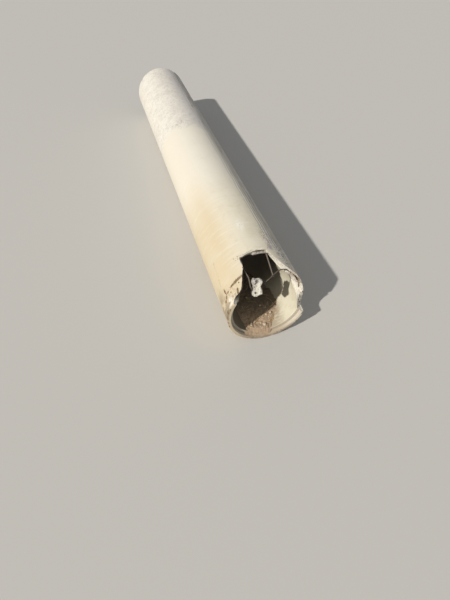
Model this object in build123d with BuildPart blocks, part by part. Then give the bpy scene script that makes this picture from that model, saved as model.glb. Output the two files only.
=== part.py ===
from build123d import *
from math import cos, radians, sin, tan
import os

# Reinforced concrete sewer pipe, 304 mm bore, lying on its side with its socket end broken open.
# The origin is on the ground under the middle of the pipe. The pipe runs along Y, the broken socket end
# is at -Y, the tongue end at +Y, and +Z is up. Lengths are in millimetres and angles in degrees.
# Places along the pipe are measured from the broken end's mouth. Places around it are angles from the
# crown, positive towards +X. Points off the ring are (across, along from the mouth, up from the axis).

# Barrel
overall_length = 2440.0
bore_radius = 152.0
wall = 29.0

# Rebated joint: the socket is a recess in the bore, and the tongue is a step in the outside
socket_depth = 20.0
socket_lip = 15.0
tongue_length = 18.0
joint_clearance = 2.0
arris = 2.0

# Reinforcement cage: ring wires outside, lengthwise wires inside, bedded in the wall with a hairline gap
inner_cover = 7.8
hoop_wire = 5.0
long_wire = 6.0
wire_gap = 0.2
first_hoop = 84.0
hoop_pitch = 96.0

# The first ring wire comes out of the right flank, leaves its ring and is bent across the opening into the lump
bent_hoop_start = 68.0
bent_hoop_leaves_ring = 36.0
bent_hoop_to_corner = 31.0
bent_hoop_bend = 45.0
bent_hoop_end = (-40.0, 46.0, 98.0)

# The second ring wire is bedded right of the opening and bare along the right half of the break's top edge
edge_hoop_start = 22.0
edge_hoop_end = -4.5

# The right lengthwise wire droops until it crosses under the bent ring wire
right_wire_angle = 15.5
right_wire_bedded = 220.0
right_wire_leaves_ring = 182.0
right_wire_crosses = 48.0
right_wire_past_hoop = 3.0
right_wire_bend = 60.0

# The left lengthwise wire is bent down past the lump's left side and into its lower corner
left_wire_angle = -27.5
left_wire_bedded = 170.0
left_wire_leaves_ring = 130.0
left_wire_points = ((-65.0, 90.0, 129.0), (-66.0, 60.0, 105.0), (-52.0, 42.0, 82.0))
left_wire_bends = (40.0, 30.0, 30.0)

# Hanging lump, a remnant of the wall: its middle, how far its top leans back, how far it faces to the left,
# and how far its top tips to the right
lump_middle = (-42.0, 50.0, 107.0)
lump_leans_back = 27.0
lump_faces_left = 11.0
lump_tips_right = 4.0
lump_arris = 3.0

# Broken edges, as (angle, distance from the mouth outside, distance from the mouth at the bore)
left_edge = (
    (-59.4, 8, 10), (-57.6, 14, 18), (-53.5, 17, 24), (-49.0, 19, 30), (-44.6, 18, 36), (-41.2, 29, 52),
    (-38.6, 44, 70), (-34.8, 63, 91), (-32.8, 81, 109), (-29.9, 101, 128), (-26.9, 121, 147), (-25.6, 145, 170),
)
crown_edge = (
    (-26.0, 178, 200), (-24.6, 183, 204), (-19.0, 183, 204), (-13.5, 185, 204), (-7.7, 188, 205),
    (-4.4, 189, 195), (9.7, 189, 195), (13.7, 187, 193), (15.2, 178, 184), (16.5, 164, 170),
)
right_edge = (
    (15.0, 171, 176), (19.6, 148, 156), (24.2, 124, 134), (28.7, 99, 112), (35.2, 84, 97), (41.2, 73, 93),
    (47.0, 69, 95),
)
flank_edge = (
    (44.0, 70, 94), (52.0, 67, 98), (61.0, 68, 108), (70.0, 62, 122), (79.0, 60, 130), (85.5, 58, 104),
    (92.6, 57, 58), (99.0, 58, 44), (105.0, 54, 30), (108.4, 40, 20), (109.6, 12, 9),
)

# The lump's outline, from its middle, going round from the upper left corner
lump_outline = (
    (-20, 30), (-13, 37), (1, 34), (12, 37), (22, 29), (21, 17), (15, 7), (16, -7), (22, -17), (20, -29),
    (10, -29), (-2, -37), (-15, -35), (-22, -29), (-20, -17), (-15, -5), (-17, 10), (-22, 21),
)

outer_radius = bore_radius + wall
socket_radius = outer_radius - socket_lip
tongue_radius = socket_radius - joint_clearance
long_wire_ring = bore_radius + inner_cover + long_wire / 2
hoop_ring = long_wire_ring + (long_wire + hoop_wire) / 2 + wire_gap
second_hoop = first_hoop + hoop_pitch
mouth = -overall_length / 2


def on_ring(angle, radius, along):
    """The point at an angle from the crown, a radius from the pipe's axis and a distance from the mouth."""
    x = radius * sin(radians(angle))
    z = outer_radius + radius * cos(radians(angle))
    return Vector(x, mouth + along, z)


def off_ring(across, along, up):
    """The point at a distance across from the axis, along from the mouth and up from the axis."""
    return Vector(across, mouth + along, outer_radius + up)


def across_pipe(along):
    """The plane across the pipe at a distance from the mouth: its origin is on the axis, its x is X, its y is Z."""
    return Plane(origin=(0, mouth + along, outer_radius), x_dir=(1, 0, 0), z_dir=(0, -1, 0))


# Break

wedge_floor = bore_radius * 0.6
past_wall = 10.0
past_mouth = 60.0


def wedge_outline(edge, middle, height):
    """The outline of the missing piece in the plane at this height from the axis, square to the middle angle."""
    points = []
    for angle, outside, inside in edge:
        turn = radians(angle - middle)
        through_wall = (height / cos(turn) - bore_radius) / wall
        along = inside + through_wall * (outside - inside)
        points.append((height * tan(turn), mouth + along))
    left, right = points[0][0], points[-1][0]
    return [(left, mouth - past_mouth), *points, (right, mouth - past_mouth)]


def break_wedge(edge):
    """One missing piece of the wall, with broken faces that point at the pipe's axis."""
    middle = (edge[0][0] + edge[-1][0]) / 2
    outwards = Vector(sin(radians(middle)), 0, cos(radians(middle)))
    around = Vector(cos(radians(middle)), 0, -sin(radians(middle)))
    with BuildPart() as wedge:
        for height in (wedge_floor, outer_radius + past_wall):
            origin = Vector(0, 0, outer_radius) + outwards * height
            with BuildSketch(Plane(origin=origin, x_dir=around, z_dir=outwards)):
                with BuildLine():
                    Polyline(*wedge_outline(edge, middle, height), close=True)
                make_face()
        loft(ruled=True)
    return wedge.part


# Wires

with BuildLine(across_pipe(first_hoop)) as first_ring:
    CenterArc((0, 0), hoop_ring, 90 - bent_hoop_start, bent_hoop_start - bent_hoop_leaves_ring)

leaves_ring = first_ring.line @ 1
bent_hoop_corner = leaves_ring + (first_ring.line % 1) * bent_hoop_to_corner
with BuildLine() as bent_hoop_path:
    add(first_ring.line)
    FilletPolyline(leaves_ring, bent_hoop_corner, off_ring(*bent_hoop_end), radius=bent_hoop_bend)

with BuildLine(across_pipe(second_hoop)) as edge_hoop_path:
    CenterArc((0, 0), hoop_ring, 90 - edge_hoop_start, edge_hoop_start - edge_hoop_end)

# The droop crosses the bent wire's straight part one wire's thickness below it.
tail = (off_ring(*bent_hoop_end) - bent_hoop_corner).normalized()
droop_start = on_ring(right_wire_angle, long_wire_ring, right_wire_leaves_ring)
on_tail = bent_hoop_corner + tail * right_wire_crosses
below = (on_tail - droop_start).cross(tail).normalized()
crossing = on_tail + below * ((long_wire + hoop_wire) / 2 + wire_gap)
with BuildLine() as right_wire_path:
    FilletPolyline(
        on_ring(right_wire_angle, long_wire_ring, right_wire_bedded),
        droop_start,
        crossing + (crossing - droop_start).normalized() * right_wire_past_hoop,
        radius=right_wire_bend,
    )

with BuildLine() as left_wire_path:
    FilletPolyline(
        on_ring(left_wire_angle, long_wire_ring, left_wire_bedded),
        on_ring(left_wire_angle, long_wire_ring, left_wire_leaves_ring),
        *[off_ring(*point) for point in left_wire_points],
        radius=left_wire_bends,
    )


def round_bar(path, radius):
    """A round bar along a path."""
    with BuildPart() as bar:
        with BuildLine():
            add(path)
        with BuildSketch(Plane(origin=path @ 0, z_dir=path % 0)):
            Circle(radius)
        sweep(path=path)
    return bar.part


wire_paths = {
    "hoop_wire_bent": (bent_hoop_path.line, hoop_wire / 2),
    "hoop_wire_edge": (edge_hoop_path.line, hoop_wire / 2),
    "long_wire_right": (right_wire_path.line, long_wire / 2),
    "long_wire_left": (left_wire_path.line, long_wire / 2),
}
wires = {name: round_bar(path, radius) for name, (path, radius) in wire_paths.items()}
wire_beds = [round_bar(path, radius + wire_gap) for path, radius in wire_paths.values()]

# Barrel: the wall's section turned about the axis, the break cut out of it, and the wires' beds

wedges = [break_wedge(edge) for edge in (left_edge, crown_edge, right_edge, flank_edge)]

with BuildPart() as pipe_barrel:
    with BuildSketch(Plane.YZ) as section:
        with BuildLine():
            Polyline(
                (mouth, outer_radius + socket_radius),
                (mouth + socket_depth, outer_radius + socket_radius),
                (mouth + socket_depth, outer_radius + bore_radius),
                (-mouth, outer_radius + bore_radius),
                (-mouth, outer_radius + tongue_radius),
                (-mouth - tongue_length, outer_radius + tongue_radius),
                (-mouth - tongue_length, outer_radius * 2),
                (mouth, outer_radius * 2),
                close=True,
            )
        make_face()
        chamfer(section.vertices(), arris)
    revolve(axis=Axis((0, 0, outer_radius), (0, 1, 0)))
    add(wedges, mode=Mode.SUBTRACT)
    add(wire_beds, mode=Mode.SUBTRACT)
pipe_barrel.part.label = "pipe_barrel"

# Lump: an outline with a waist, as thick as the wall, hanging on the two wires that enter it

upright = Plane(origin=off_ring(*lump_middle), x_dir=(1, 0, 0), z_dir=(0, -1, 0))
lump_plane = Plane(upright.location * Rotation(-lump_leans_back, -lump_faces_left, -lump_tips_right))

with BuildPart() as concrete_lump:
    with BuildSketch(lump_plane):
        with BuildLine():
            Polyline(*lump_outline, close=True)
        make_face()
    extrude(amount=wall / 2, both=True)
    through_lump = faces().sort_by(Axis(lump_plane.origin, lump_plane.z_dir))
    chamfer([*through_lump[0].edges(), *through_lump[-1].edges()], lump_arris)
    add(wire_beds, mode=Mode.SUBTRACT)
concrete_lump.part.label = "concrete_lump"

# Hand over

os.makedirs("parts", exist_ok=True)
export_step(pipe_barrel.part, "parts/pipe_barrel.step")
export_step(concrete_lump.part, "parts/concrete_lump.step")
for name, wire in wires.items():
    wire.label = name
    export_step(wire, f"parts/{name}.step")
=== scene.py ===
# %% [markdown]
# # A concrete sewer pipe with a broken socket end
# This notebook dresses a small reinforced concrete drain pipe. The pipe lies on its side. Its near end is a
# socket whose crown and right flank have been broken away, so that bare cage wires and a hanging lump of
# concrete show in the gap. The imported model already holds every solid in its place, in metres, with the pipe
# along Y and +Z up. Blender adds what a drawing can't hold: torn faces, chips, soil and weathered surfaces.

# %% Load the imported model
import bpy
from math import pi, radians, sin, cos
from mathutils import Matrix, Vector
from random import Random


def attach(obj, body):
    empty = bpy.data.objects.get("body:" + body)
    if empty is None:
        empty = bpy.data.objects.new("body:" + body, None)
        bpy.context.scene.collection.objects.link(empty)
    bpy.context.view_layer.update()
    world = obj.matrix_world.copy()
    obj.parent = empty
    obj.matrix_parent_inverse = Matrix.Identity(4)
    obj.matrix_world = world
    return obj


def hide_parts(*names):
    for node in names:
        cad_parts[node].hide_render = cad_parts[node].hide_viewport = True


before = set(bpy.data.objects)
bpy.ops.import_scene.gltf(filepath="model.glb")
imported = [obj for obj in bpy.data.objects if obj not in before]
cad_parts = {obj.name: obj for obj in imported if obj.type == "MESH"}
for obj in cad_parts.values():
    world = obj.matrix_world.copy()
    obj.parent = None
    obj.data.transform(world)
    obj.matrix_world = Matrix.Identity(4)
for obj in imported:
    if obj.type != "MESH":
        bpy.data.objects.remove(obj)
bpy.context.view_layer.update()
print("nodes:", sorted(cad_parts))

# %% [markdown]
# The pipe's own sizes come first, because everything is placed from them. A place on the pipe is told the way
# a pipe layer would: an angle from the crown, positive to the right, a radius from the axis, and a distance
# along from the broken mouth. Sizes are typed in millimetres, as on a drawing, and turned to metres once.

# %% Sizes of the pipe
MM = 0.001
LENGTH = 2440 * MM
BORE = 152 * MM
OUTSIDE = 181 * MM
SOCKET = 166 * MM
SOCKET_DEPTH = 20 * MM
TONGUE = 164 * MM
TONGUE_LENGTH = 18 * MM
ARRIS = 2 * MM
MOUTH = -LENGTH / 2
AXIS = OUTSIDE


def on_pipe(angle, radius, along):
    """The point at an angle in degrees from the crown, a radius and a distance from the mouth."""
    turn = radians(angle)
    return Vector((radius * sin(turn), MOUTH + along, AXIS + radius * cos(turn)))


print("crown at the mouth:", tuple(round(c, 3) for c in on_pipe(0, OUTSIDE, 0)))

# %% [markdown]
# Edit mode tools act on whatever is selected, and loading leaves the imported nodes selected. A few small
# helpers keep that tidy: they add a shape, pick a single piece, run its modifiers for good, join pieces,
# thicken a sheet and add bumps. Displacement with cloud noise of a real grain size is how all the torn concrete
# here gets its relief, since concrete breaks round its stones and leaves bumps from 3 to 30 mm across.

# %% Helpers for shaping
BALL_DETAIL = 4


def fresh(add_shape, name, **settings):
    """Adds a shape with nothing else selected, names it and returns it."""
    bpy.ops.object.select_all(action="DESELECT")
    add_shape(**settings)
    piece = bpy.context.active_object
    piece.name = name
    return piece


def pick(piece):
    """Selects this piece alone and makes it the active one."""
    bpy.ops.object.select_all(action="DESELECT")
    piece.select_set(True)
    bpy.context.view_layer.objects.active = piece


def apply_all(piece):
    """Applies every modifier of the piece, from first to last."""
    pick(piece)
    for modifier in list(piece.modifiers):
        bpy.ops.object.modifier_apply(modifier=modifier.name)


def join(pieces, name):
    """Joins pieces into one with this name."""
    pick(pieces[0])
    for piece in pieces:
        piece.select_set(True)
    bpy.ops.object.join()
    pieces[0].name = name
    return pieces[0]


def thicken(sheet, offset):
    """Extrudes the sheet by this offset, leaves the new part out of its group, and turns all faces outwards."""
    pick(sheet)
    bpy.ops.object.mode_set(mode="EDIT")
    bpy.ops.mesh.select_all(action="SELECT")
    bpy.ops.mesh.extrude_region_move(TRANSFORM_OT_translate={"value": offset})
    bpy.ops.object.vertex_group_remove_from()
    bpy.ops.mesh.select_all(action="SELECT")
    bpy.ops.mesh.normals_make_consistent(inside=False)
    bpy.ops.object.mode_set(mode="OBJECT")


def roughen(piece, grains, group=""):
    """Pushes the surface in and out for good: for each grain, by up to half its height, in bumps that wide."""
    for grain, height in grains:
        clouds = bpy.data.textures.new(f"grain_{grain / MM:.0f}", "CLOUDS")
        clouds.noise_scale = grain
        clouds.noise_depth = 1
        bumps = piece.modifiers.new("roughen", "DISPLACE")
        bumps.texture = clouds
        bumps.texture_coords = "LOCAL"
        bumps.strength = height
        bumps.mid_level = 0.5
        bumps.vertex_group = group
    apply_all(piece)


def ball(place, across, flatness, angle):
    """A small ball pressed flat along the radius at this angle, for chips and stones."""
    piece = fresh(bpy.ops.mesh.primitive_ico_sphere_add, "ball", subdivisions=BALL_DETAIL, radius=across / 2)
    piece.scale = (1, 1, flatness)
    piece.rotation_euler = (0, radians(angle), 0)
    piece.location = place
    bpy.ops.object.transform_apply(location=True, rotation=True, scale=True)
    return piece


# %% [markdown]
# ## The barrel
# Small concrete pipe is spun or packed in a round steel mould, so it is a body of revolution: one outline
# turned about the axis. The outline has the socket's recess at the near end, the tongue at the far end and
# small worn arrises. A ring of loose edges is bent into that outline and spun in 256 steps. Near the break the
# outline gets a point every 8 mm, so that the cuts to come have short edges to bite into.

# %% Outline of the wall
SPIN_STEPS = 256
CLOSE_RINGS = 8 * MM
WIDE_RINGS = 64 * MM
BREAK_REACH = 300 * MM


def ring_stations(start, end):
    """Distances along the pipe, close together up to the break's reach and far apart beyond it."""
    stations, here = [], start
    while here < end:
        stations.append(here)
        here += CLOSE_RINGS if here < BREAK_REACH else WIDE_RINGS
    return stations


tongue_root = LENGTH - TONGUE_LENGTH
bore_line = [(along, BORE) for along in ring_stations(SOCKET_DEPTH + ARRIS, LENGTH - ARRIS)]
outside_line = [(along, OUTSIDE) for along in ring_stations(ARRIS, tongue_root - ARRIS)]
socket_end = [
    (ARRIS, SOCKET), (SOCKET_DEPTH / 2, SOCKET), (SOCKET_DEPTH - ARRIS, SOCKET),
    (SOCKET_DEPTH, SOCKET - ARRIS), (SOCKET_DEPTH, BORE + ARRIS),
]
tongue_end = [
    (LENGTH - ARRIS, BORE), (LENGTH, BORE + ARRIS), (LENGTH, TONGUE - ARRIS), (LENGTH - ARRIS, TONGUE),
    (tongue_root + ARRIS, TONGUE), (tongue_root, TONGUE + ARRIS), (tongue_root, OUTSIDE - ARRIS),
    (tongue_root - ARRIS, OUTSIDE),
]
mouth_face = [(0, OUTSIDE - ARRIS), (0, SOCKET + ARRIS)]
outline = [*socket_end, *bore_line, *tongue_end, *reversed(outside_line), *mouth_face]
print("outline:", len(outline), "points")

# %% Spin the whole barrel
barrel = fresh(bpy.ops.mesh.primitive_circle_add, "cast_barrel", vertices=len(outline), fill_type="NOTHING")
for vertex, (along, radius) in zip(barrel.data.vertices, outline):
    vertex.co = on_pipe(0, radius, along)
bpy.ops.object.mode_set(mode="EDIT")
bpy.ops.mesh.select_all(action="SELECT")
bpy.ops.mesh.spin(steps=SPIN_STEPS, angle=2 * pi, center=(0, 0, AXIS), axis=(0, 1, 0))
bpy.ops.mesh.select_all(action="SELECT")
bpy.ops.mesh.remove_doubles(threshold=0.01 * MM)
bpy.ops.mesh.normals_make_consistent(inside=False)
bpy.ops.object.mode_set(mode="OBJECT")
print("whole barrel:", len(barrel.data.polygons), "faces")

# %% [markdown]
# ## The break
# The torn edge is a row of points: an angle, and how far from the mouth the break lies there, outside and at
# the bore. Nearly everywhere the bore side broke further back, so the edge overhangs and its face hides in
# shadow. A sheet of small faces is stood along that row, from inside the bore to outside the wall. Three
# grains of noise make it a fracture, and extruding it past the mouth turns it into the missing piece, which a
# boolean then takes away. The noise fades out beyond the wall and at both ends of the row, where the sheet has
# to stay clean for the boolean to close.

# %% The torn edge
TORN_EDGE = (
    # angle, distance from the mouth outside and at the bore, in mm
    (-59.7, -20, -20), (-59.6, 0, 0), (-58.8, 8, 14), (-56.2, 17, 30), (-52.4, 22, 40), (-49.2, 21, 44),
    (-46.3, 21, 48), (-43.5, 24, 54), (-40.9, 29, 62), (-38.2, 43, 76), (-34.8, 63, 94), (-32.8, 81, 110),
    (-29.9, 101, 129), (-26.9, 121, 147), (-25.6, 145, 170), (-25.9, 178, 200), (-24.6, 183, 204),
    (-19.0, 183, 204), (-13.5, 185, 204), (-7.7, 188, 205), (-4.4, 189, 195), (9.7, 189, 197), (13.7, 188, 203),
    (15.2, 180, 205), (16.8, 166, 204), (19.6, 148, 198), (22.0, 136, 186), (24.2, 124, 168), (26.4, 112, 149),
    (28.7, 99, 130), (32.0, 91, 114), (35.2, 84, 102), (41.2, 73, 94), (47.0, 69, 95), (52.0, 67, 98),
    (61.0, 68, 108), (70.0, 62, 122), (79.0, 60, 130), (85.5, 58, 104), (92.6, 57, 58), (99.0, 58, 44),
    (105.0, 54, 30), (108.4, 40, 20), (109.4, 12, 9), (109.6, 0, 0), (109.8, -20, -20),
)
TORN_STEP = 1.6 * MM
WALL_LEVELS = 20
LEVELS_PAST_WALL = 3
SHEET_INSIDE = BORE * 0.6
SHEET_HALFWAY = BORE * 0.85
SHEET_OUTSIDE = OUTSIDE + 10 * MM
PAST_MOUTH = 350 * MM
END_COLUMNS = 12
FADE_LEVELS = 3.5
BREAK_GRAINS = ((26 * MM, 4.5 * MM), (9 * MM, 3.5 * MM), (3.5 * MM, 2 * MM))


def torn_columns():
    """The torn edge cut into short even steps, as (angle, along outside, along at the bore) in metres."""
    columns = []
    for (a0, o0, i0), (a1, o1, i1) in zip(TORN_EDGE, TORN_EDGE[1:]):
        reach = Vector(((a1 - a0) * pi / 180 * OUTSIDE, (o1 - o0) * MM, (i1 - i0) * MM)).length
        steps = max(1, round(reach / TORN_STEP))
        for step in range(steps):
            share = step / steps
            outside, inside = o0 + (o1 - o0) * share, i0 + (i1 - i0) * share
            columns.append((a0 + (a1 - a0) * share, outside * MM, inside * MM))
    angle, outside, inside = TORN_EDGE[-1]
    return columns + [(angle, outside * MM, inside * MM)]


columns = torn_columns()
level_step = (OUTSIDE - BORE) / WALL_LEVELS
wall_levels = [BORE + level_step * k for k in range(-LEVELS_PAST_WALL, WALL_LEVELS + LEVELS_PAST_WALL)]
levels = [SHEET_INSIDE, SHEET_HALFWAY, *wall_levels, SHEET_OUTSIDE]
print("torn sheet:", len(columns), "columns of", len(levels))

# %% Stand the sheet and make it a fracture
last_column, last_level = len(columns) - 1, len(levels) - 1
grid = {"x_subdivisions": last_column, "y_subdivisions": last_level, "size": 1}
missing = fresh(bpy.ops.mesh.primitive_grid_add, "missing_wall", **grid)
fade = missing.vertex_groups.new(name="in_the_wall")
for vertex in missing.data.vertices:
    column = round((vertex.co.x + 0.5) * last_column)
    radius = levels[round((vertex.co.y + 0.5) * last_level)]
    angle, outside, inside = columns[column]
    through_wall = (radius - BORE) / (OUTSIDE - BORE)
    vertex.co = on_pipe(angle, radius, inside + through_wall * (outside - inside))
    off_wall = max(BORE - radius, radius - OUTSIDE, 0)
    near_end = min(column, last_column - column) / END_COLUMNS
    near_wall = max(0, 1 - off_wall / (FADE_LEVELS * level_step))
    fade.add([vertex.index], min(1, near_end) * near_wall, "REPLACE")
roughen(missing, BREAK_GRAINS, "in_the_wall")
thicken(missing, (0, -PAST_MOUTH, 0))
print("missing piece:", len(missing.data.polygons), "faces")

# %% [markdown]
# Old pipe is chipped as well as broken. Each chip is a small ball, roughened and pressed into the surface
# where the pipe shows one: nicks along the break and the mouth, and knocks round the tongue. Other marks are
# older and have filled with rust and dirt: flakes off the left rim, pits and a pock far up the barrel. The
# longest are two grooves where the first ring wire lies: one left of the opening, and one in the right flank's
# broken face. A groove is a ball drawn out along its run. Hollows in the lump where stones fell out of it are
# balls too, and their faces are painted dark, which is painted shade.

# %% Chips
CHIPS = (
    # angle, radius, distance along and size across in mm, flatness
    (-29.8, 182, 191, 9, 0.5), (112, 178, 2, 20, 0.6), (128, 180, 1, 13, 0.6), (149, 181, 0, 17, 0.5),
    (171, 181, 1, 12, 0.6), (47, 182, 78, 12, 0.5), (58, 181, 70, 10, 0.6), (70, 181, 64, 12, 0.6),
    (88, 181, 57, 14, 0.6), (-52, 180, 2421, 22, 0.6), (-20, 181, 2423, 14, 0.6), (8, 180, 2422, 18, 0.6),
    (35, 181, 2420, 26, 0.6), (64, 180, 2422, 16, 0.6), (150, 180, 2422, 24, 0.6), (-110, 180, 2421, 20, 0.6),
    (20, 163, 2440, 14, 0.7), (-75, 162, 2440, 18, 0.7), (-61.5, 183, 34, 32, 0.35),
)
OLD_CHIPS = (
    # angle, radius, distance along and size across in mm, flatness
    (-71, 181, -1, 14, 0.6), (-78, 180, 10, 18, 0.6), (-87, 180, 1, 16, 0.6), (-96, 180, 0, 12, 0.6),
    (-104, 180, 0, 14, 0.6), (-125, 180, 0, 13, 0.6), (-140, 180, 1, 13, 0.6), (-154, 180, 0, 12, 0.6),
    (-168, 181, 0, 15, 0.5), (-56.5, 181.6, 59, 8, 0.6), (-39.6, 181.8, 67, 8, 0.6), (-72.5, 181.4, 54, 14, 0.6),
    (102.5, 170, 59, 8, 0.8), (104.5, 171, 48, 8, 0.8), (108.0, 168, 36, 8, 0.8), (31.1, 183.5, 1735, 16, 0.5),
)
LUMP_HOLLOWS = (
    # across, along and up from the axis at the mouth, then size across, in mm
    ((-44, 50, 141), 14), ((-47, 49, 133), 8), ((-52, 48, 129), 6), ((-56, 42, 119), 6), ((-54, 31, 96), 10),
)
CHIP_GRAINS = ((8 * MM, 5 * MM), (3 * MM, 2 * MM))
OLD_GRAINS = ((5 * MM, 2 * MM),)
mouth_centre = Vector((0, MOUTH, AXIS))

chips = join([ball(on_pipe(a, r * MM, y * MM), s * MM, f, a) for a, r, y, s, f in CHIPS], "chips")
old_chips = [ball(on_pipe(a, r * MM, y * MM), s * MM, f, a) for a, r, y, s, f in OLD_CHIPS]
hollows = [ball(mouth_centre + Vector(place) * MM, across * MM, 1, 0) for place, across in LUMP_HOLLOWS]
hollows = join(hollows, "hollows")
print("chips:", len(CHIPS), "old chips:", len(OLD_CHIPS), "hollows:", len(LUMP_HOLLOWS))

# %% Grooves
GROOVES = (
    # start and end as (angle, distance along), then width, depth and radius, in mm
    ((-29.5, 88.5), (-54.0, 79.5), 13, 4.0, 181), ((-44.8, 50), (-46.8, 16), 11, 4.0, 181),
    ((-67.0, 109), (-65.7, 77), 9, 3.0, 181), ((-66.3, 69), (-68.8, 60), 12, 4.0, 181),
    ((-59.0, 75), (-63.3, 73), 8, 2.5, 181), ((44.0, 84), (92.0, 82), 9, 4.5, 171.5),
)
GROOVE_SIDES = 12
GROOVE_RINGS = 32


def drawn_out(start, end, width, depth, radius):
    """A ball drawn out between two places on the pipe, for a groove this wide and deep."""
    ball_shape = {"segments": GROOVE_SIDES, "ring_count": GROOVE_RINGS, "radius": 1}
    piece = fresh(bpy.ops.mesh.primitive_uv_sphere_add, "groove", **ball_shape)
    from_start = Vector((radians(start[0]) * OUTSIDE, start[1] * MM))
    run = Vector((radians(end[0]) * OUTSIDE, end[1] * MM)) - from_start
    sideways = Vector((run.y, -run.x)).normalized() * width / 2 * MM
    for vertex in piece.data.vertices:
        arc, along = from_start + run * (vertex.co.z + 1) / 2 + sideways * vertex.co.y
        vertex.co = on_pipe(arc / OUTSIDE * 180 / pi, (radius + vertex.co.x * depth) * MM, along)
    return piece


grooves = join([*old_chips, *[drawn_out(*groove) for groove in GROOVES]], "grooves")
print("grooves:", len(GROOVES))

# %% Roughen what cuts
for cutter, grains in ((chips, CHIP_GRAINS), (grooves, OLD_GRAINS), (hollows, OLD_GRAINS)):
    roughen(cutter, grains)
    print(cutter.name, len(cutter.data.polygons), "faces")

# %% [markdown]
# ## Materials
# The finishes are made before the cuts, because a boolean carries the cutter's material onto the faces it
# leaves. That is just what a break does: it shows fresh, paler concrete inside a weathered skin. One helper
# turns hex colours in sRGB into the linear values that shaders work in, and one adds a node with its
# settings and its inputs. Where an input is given a node, it takes that node's first output.

# %% Helpers for materials
def colour(hex_code):
    """A linear colour from an sRGB hex code such as 'c8bfa9'."""
    parts = [int(hex_code[i:i + 2], 16) / 255 for i in (0, 2, 4)]
    return (*[c / 12.92 if c <= 0.04045 else ((c + 0.055) / 1.055) ** 2.4 for c in parts], 1)


def add(tree, kind, settings=None, inputs=None):
    """Adds a shader node, sets its settings, and fills its inputs with values, sockets or nodes."""
    node = tree.nodes.new("ShaderNode" + kind)
    for name, value in (settings or {}).items():
        setattr(node, name, value)
    for key, value in (inputs or {}).items():
        if isinstance(value, bpy.types.Node):
            value = next(output for output in value.outputs if output.enabled)
        if isinstance(value, bpy.types.NodeSocket):
            tree.links.new(value, node.inputs[key])
        else:
            node.inputs[key].default_value = value
    return node


def new_material(name, roughness):
    """An empty material with its shader: returns the material, its tree and the shader node."""
    material = bpy.data.materials.new(name)
    material.use_nodes = True
    shader = material.node_tree.nodes["Principled BSDF"]
    shader.inputs["Roughness"].default_value = roughness
    return material, material.node_tree, shader


# %% [markdown]
# Some settings come back in nearly every finish, so they get names here. A colour mix has its amount on socket
# 0 and its two colours on sockets 6 and 7. A smooth step turns a value between two limits into an amount.

# %% Settings that come back
TINT = {"data_type": "RGBA"}
STEP = {"interpolation_type": "SMOOTHSTEP"}
TIMES = {"operation": "MULTIPLY"}
PLUS = {"operation": "ADD"}
MINUS = {"operation": "SUBTRACT"}
LARGER = {"operation": "MAXIMUM"}
SMALLER = {"operation": "MINIMUM"}

# %% [markdown]
# Many marks on the pipe follow its round: the mould's seam, the stain by the break, cracks, the ring where
# the colour changes. They are easiest to place on the pipe unrolled, so one node group turns a point of the
# object into three lengths in metres: the arc from the crown, the distance from the mouth, and the radius.
# Three more groups work in it. One gives blotches of a real grain size, one a soft patch round a place, and
# one the distance to a short straight stroke, for cracks and runs of rust.

# %% Node groups
def group(name, inputs, output, kind="NodeSocketFloat"):
    """An empty shader node group with these inputs and one output: returns its tree, input and output nodes."""
    tree = bpy.data.node_groups.new(name, "ShaderNodeTree")
    for label, socket in inputs:
        tree.interface.new_socket(label, in_out="INPUT", socket_type=socket)
    tree.interface.new_socket(output, in_out="OUTPUT", socket_type=kind)
    return tree, tree.nodes.new("NodeGroupInput").outputs, tree.nodes.new("NodeGroupOutput").inputs


NUMBER, PLACE = "NodeSocketFloat", "NodeSocketVector"
BLOTCH_ROUGHNESS = 0.62
PATCH_CORE = 0.2

unrolled, _, result = group("unrolled_pipe", [], "Place", PLACE)
xyz = add(unrolled, "SeparateXYZ", inputs={0: add(unrolled, "TexCoord").outputs["Object"]}).outputs
up = add(unrolled, "Math", MINUS, {0: xyz["Z"], 1: AXIS})
turn = add(unrolled, "Math", {"operation": "ARCTAN2"}, {0: xyz["X"], 1: up})
arc = add(unrolled, "Math", TIMES, {0: turn, 1: OUTSIDE})
from_mouth = add(unrolled, "Math", MINUS, {0: xyz["Y"], 1: MOUTH})
across = add(unrolled, "CombineXYZ", inputs={0: xyz["X"], 1: up})
out = add(unrolled, "VectorMath", {"operation": "LENGTH"}, {0: across})
flat = add(unrolled, "CombineXYZ", inputs={0: arc, 1: from_mouth, 2: out})
unrolled.links.new(flat.outputs[0], result[0])

blotch_inputs = [(label, NUMBER) for label in ("Grain", "Detail", "Low", "High", "Most")]
blotches, given, result = group("blotches", [("Place", PLACE), *blotch_inputs], "Amount")
fineness = add(blotches, "Math", {"operation": "DIVIDE"}, {0: 1.0, 1: given["Grain"]})
noise = add(blotches, "TexNoise", inputs={
    0: given["Place"], 2: fineness, 3: given["Detail"], 4: BLOTCH_ROUGHNESS})
amount = add(blotches, "MapRange", STEP, {0: noise, 1: given["Low"], 2: given["High"], 4: given["Most"]})
blotches.links.new(amount.outputs[0], result[0])

patch, given, result = group("patch", [("Place", PLACE), ("Middle", PLACE), ("Reach", PLACE)], "Amount")
offset = add(patch, "VectorMath", MINUS, {0: given["Place"], 1: given["Middle"]})
scaled = add(patch, "VectorMath", {"operation": "DIVIDE"}, {0: offset, 1: given["Reach"]})
reach = add(patch, "VectorMath", {"operation": "LENGTH"}, {0: scaled})
amount = add(patch, "MapRange", STEP, {0: reach, 1: 1.0, 2: PATCH_CORE})
patch.links.new(amount.outputs[0], result[0])

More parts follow.
